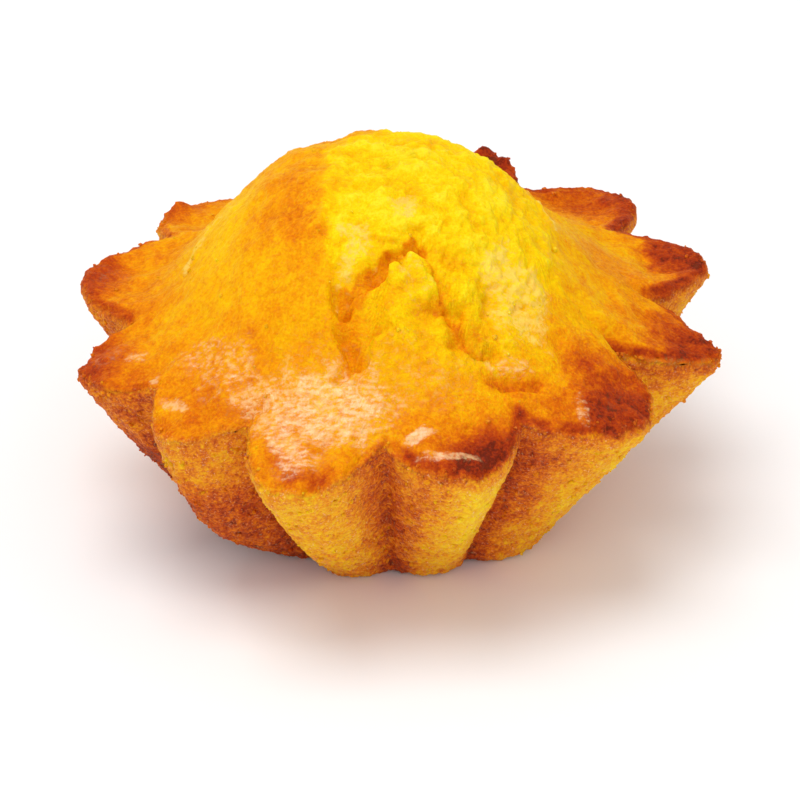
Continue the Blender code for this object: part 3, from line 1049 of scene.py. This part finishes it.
def makeCakeFinish(name):
    material = bpy.data.materials.new(name)
    material.use_nodes = True
    tree = material.node_tree
    shader = tree.nodes["Principled BSDF"]
    wire = Wire(tree, None)
    bake = fieldOf(wire, "bake")
    rise = fieldOf(wire, "rise")
    wall = fieldOf(wire, "wall")
    grains = {key: grainOf(wire, size) for key, size in grainSizes.items()}
    small, tiny = grains["small"], grains["tiny"]
    streaks = grainOf(wire, finish["streakSize"], finish["streakDrawn"])
    # painted shade: browner in the grain's hollows and paler on its tops
    tone = bake + (0.5 - rise) * (0.10 + 0.14 * wall)
    for key, (onCrust, moreOnWall) in mottling.items():
        tone = tone + (grains[key] - 0.5) * (onCrust + moreOnWall * wall)
    colour = tone.node("ShaderNodeValToRGB", {"stops": bakeStops}, {0: tone.clamped()})
    gloss = fieldOf(wire, "gloss")
    # pale specks and spots, the spots partly painted highlight
    pale = fieldOf(wire, "pale") + finish["palest"]
    matt = (small * 0.55 + tiny * 0.45 + pale * 0.26).ramp(*finish["paleFrom"])
    matt = matt * pale.ramp(*finish["spotFrom"])
    grit = grains["grit"] * 0.7 + small * 0.3
    # bright grains, partly painted glints, fewer on dark crust, and an even painted sheen on the tin side
    brightGrainsAndGlints = grit.ramp(*finish["grainAndGlintFrom"]) * (finish["grainAndGlintOnTop"] + finish["grainAndGlintOnWall"] * wall)
    brightGrainsAndGlints = (brightGrainsAndGlints + 0.05 * wall) * (1.3 - bake)
    colour = mixColours(brightGrainsAndGlints, colour, finish["grainAndGlintColour"])
    colour = mixColours(matt * finish["paleShare"], colour, finish["paleColour"])
    # painted highlight: the shine's spots and streaks take a pale highlight colour as well as more gloss
    shineAndPaintedHighlight = (streaks * 0.6 + tiny * 0.4 + gloss * 0.28).ramp(*finish["shineAndHighlightFrom"])
    shineAndPaintedHighlight = shineAndPaintedHighlight * gloss.ramp(*finish["spotFrom"])
    colour = mixColours(shineAndPaintedHighlight * finish["paintedHighlightShare"], colour, finish["paintedHighlightColour"])
    tree.links.new(colour.socket, shader.inputs["Base Color"])
    rough = finish["roughness"] + (small - 0.5) * 0.3
    rough = rough - shineAndPaintedHighlight * (finish["roughness"] - finish["glossRoughness"])
    tree.links.new(rough.clamped().socket, shader.inputs["Roughness"])
    tree.links.new((shineAndPaintedHighlight * 0.6 + gloss * 0.25).clamped().socket, shader.inputs["Coat Weight"])
    lumps = small * 0.6 + tiny * 0.5 + grains["fine"] * 0.25
    relieved = {"Strength": finish["bumpStrength"], "Distance": finish["bumpHeight"], "Height": lumps}
    bump = lumps.node("ShaderNodeBump", {}, relieved)
    tree.links.new(bump.socket, shader.inputs["Normal"])
    for socket, value in plainFinish.items():
        shader.inputs[socket].default_value = value
    return material


lastRing = len(skin["starts"]) - 2
crown = shaped[skin["starts"][lastRing]:].mean(axis=0)
# both pieces close inside the cake, the wall also on the base's middle and the top on its crown
wallPiece = makePiece("cake_wall", 0, skin["seam"], [(0.0, 0.0, 0.0), (0.0, 0.0, 5.0)])
topPiece = makePiece("cake_top", skin["seam"], lastRing, [(0.0, 0.0, 9.0), crown])
crumbPiece = makeCrumbs()
cakeFinish = makeCakeFinish("golden_crust")
for piece in (wallPiece, topPiece, crumbPiece):
    piece.data.materials.append(cakeFinish)
    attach(piece, "root")
    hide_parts("cake")


# metres and watts; the key light hangs overhead and a little to the left, the fill is in front
studio = {
    "floorSize": 1.2,
    "floorColour": (0.93, 0.93, 0.93, 1.0),
    "floorRoughness": 0.9,
    "keyFrom": (-0.21, -0.01, 0.95),
    "lightDistance": 1.0,
    "keySize": 0.60,
    "keyPower": 5.2,
    "fillFrom": (0.08, -0.85, 0.60),
    "fillSize": 0.9,
    "fillPower": 1.9,
    "skyHigh": 0.60,   # strength overhead
    "skyLow": 1.0,     # and at the horizon
}


def makeFloor():
    half = studio["floorSize"] / 2.0
    mesh = bpy.data.meshes.new("floor")
    corners = [(-half, -half, 0.0), (half, -half, 0.0), (half, half, 0.0), (-half, half, 0.0)]
    mesh.from_pydata(corners, [], [(0, 1, 2, 3)])
    material = bpy.data.materials.new("pale_floor")
    material.use_nodes = True
    shader = material.node_tree.nodes["Principled BSDF"]
    shader.inputs["Base Color"].default_value = studio["floorColour"]
    shader.inputs["Roughness"].default_value = studio["floorRoughness"]
    shader.inputs["Specular IOR Level"].default_value = 0.0
    mesh.materials.append(material)
    floor = putInScene("floor", mesh)


def makeSky():
    world = bpy.data.worlds.new("studio")
    world.use_nodes = True
    bpy.context.scene.world = world
    tree = world.node_tree
    wire = Wire(tree, None)
    place = wire.node("ShaderNodeTexCoord", {}, {})
    up = wire.node("ShaderNodeSeparateXYZ", {}, {0: place}, 2)
    strength = studio["skyLow"] - up.ramp(0.02, 0.30) * (studio["skyLow"] - studio["skyHigh"])
    tree.links.new(strength.socket, tree.nodes["Background"].inputs["Strength"])
    tree.nodes["Background"].inputs["Color"].default_value = (1.0, 1.0, 1.0, 1.0)


def aimAt(item, place, target):
    item.location = place
    item.rotation_euler = (Vector(target) - Vector(place)).to_track_quat("-Z", "Y").to_euler()


def makeLight(name, towards, size, power):
    light = bpy.data.lights.new(name, "AREA")
    light.energy = power
    light.size = size
    aimAt(putInScene(name, light), Vector(towards).normalized() * studio["lightDistance"], (0.0, 0.0, 0.02))


# the aim is in front of the cake's middle by a share of its width, and up by a share of its height
view = {
    "elevation": 30.0,     # degrees
    "distance": 480.0,     # millimetres, as the cake is drawn
    "lens": 177.2,
    "aimForward": 0.063,
    "aimUp": 0.3572,
}


def makeCamera():
    data = bpy.data.cameras.new("camera")
    data.lens = view["lens"]
    data.clip_start = 0.01
    camera = putInScene("camera", data)
    bpy.context.scene.camera = camera
    lift = math.radians(view["elevation"])
    forward = view["aimForward"] * (cakeHigh[0] - cakeLow[0])
    target = Vector((0.0, -forward, between(cakeLow[2], cakeHigh[2], view["aimUp"])))
    away = Vector((0.0, -math.cos(lift), math.sin(lift))) * view["distance"] * mm
    aimAt(camera, target + away, target)


print("studio: floor, light and camera")
makeFloor()
makeSky()
makeLight("key", studio["keyFrom"], studio["keySize"], studio["keyPower"])
makeLight("fill", studio["fillFrom"], studio["fillSize"], studio["fillPower"])
makeCamera()
bpy.context.scene.view_settings.view_transform = "Standard"
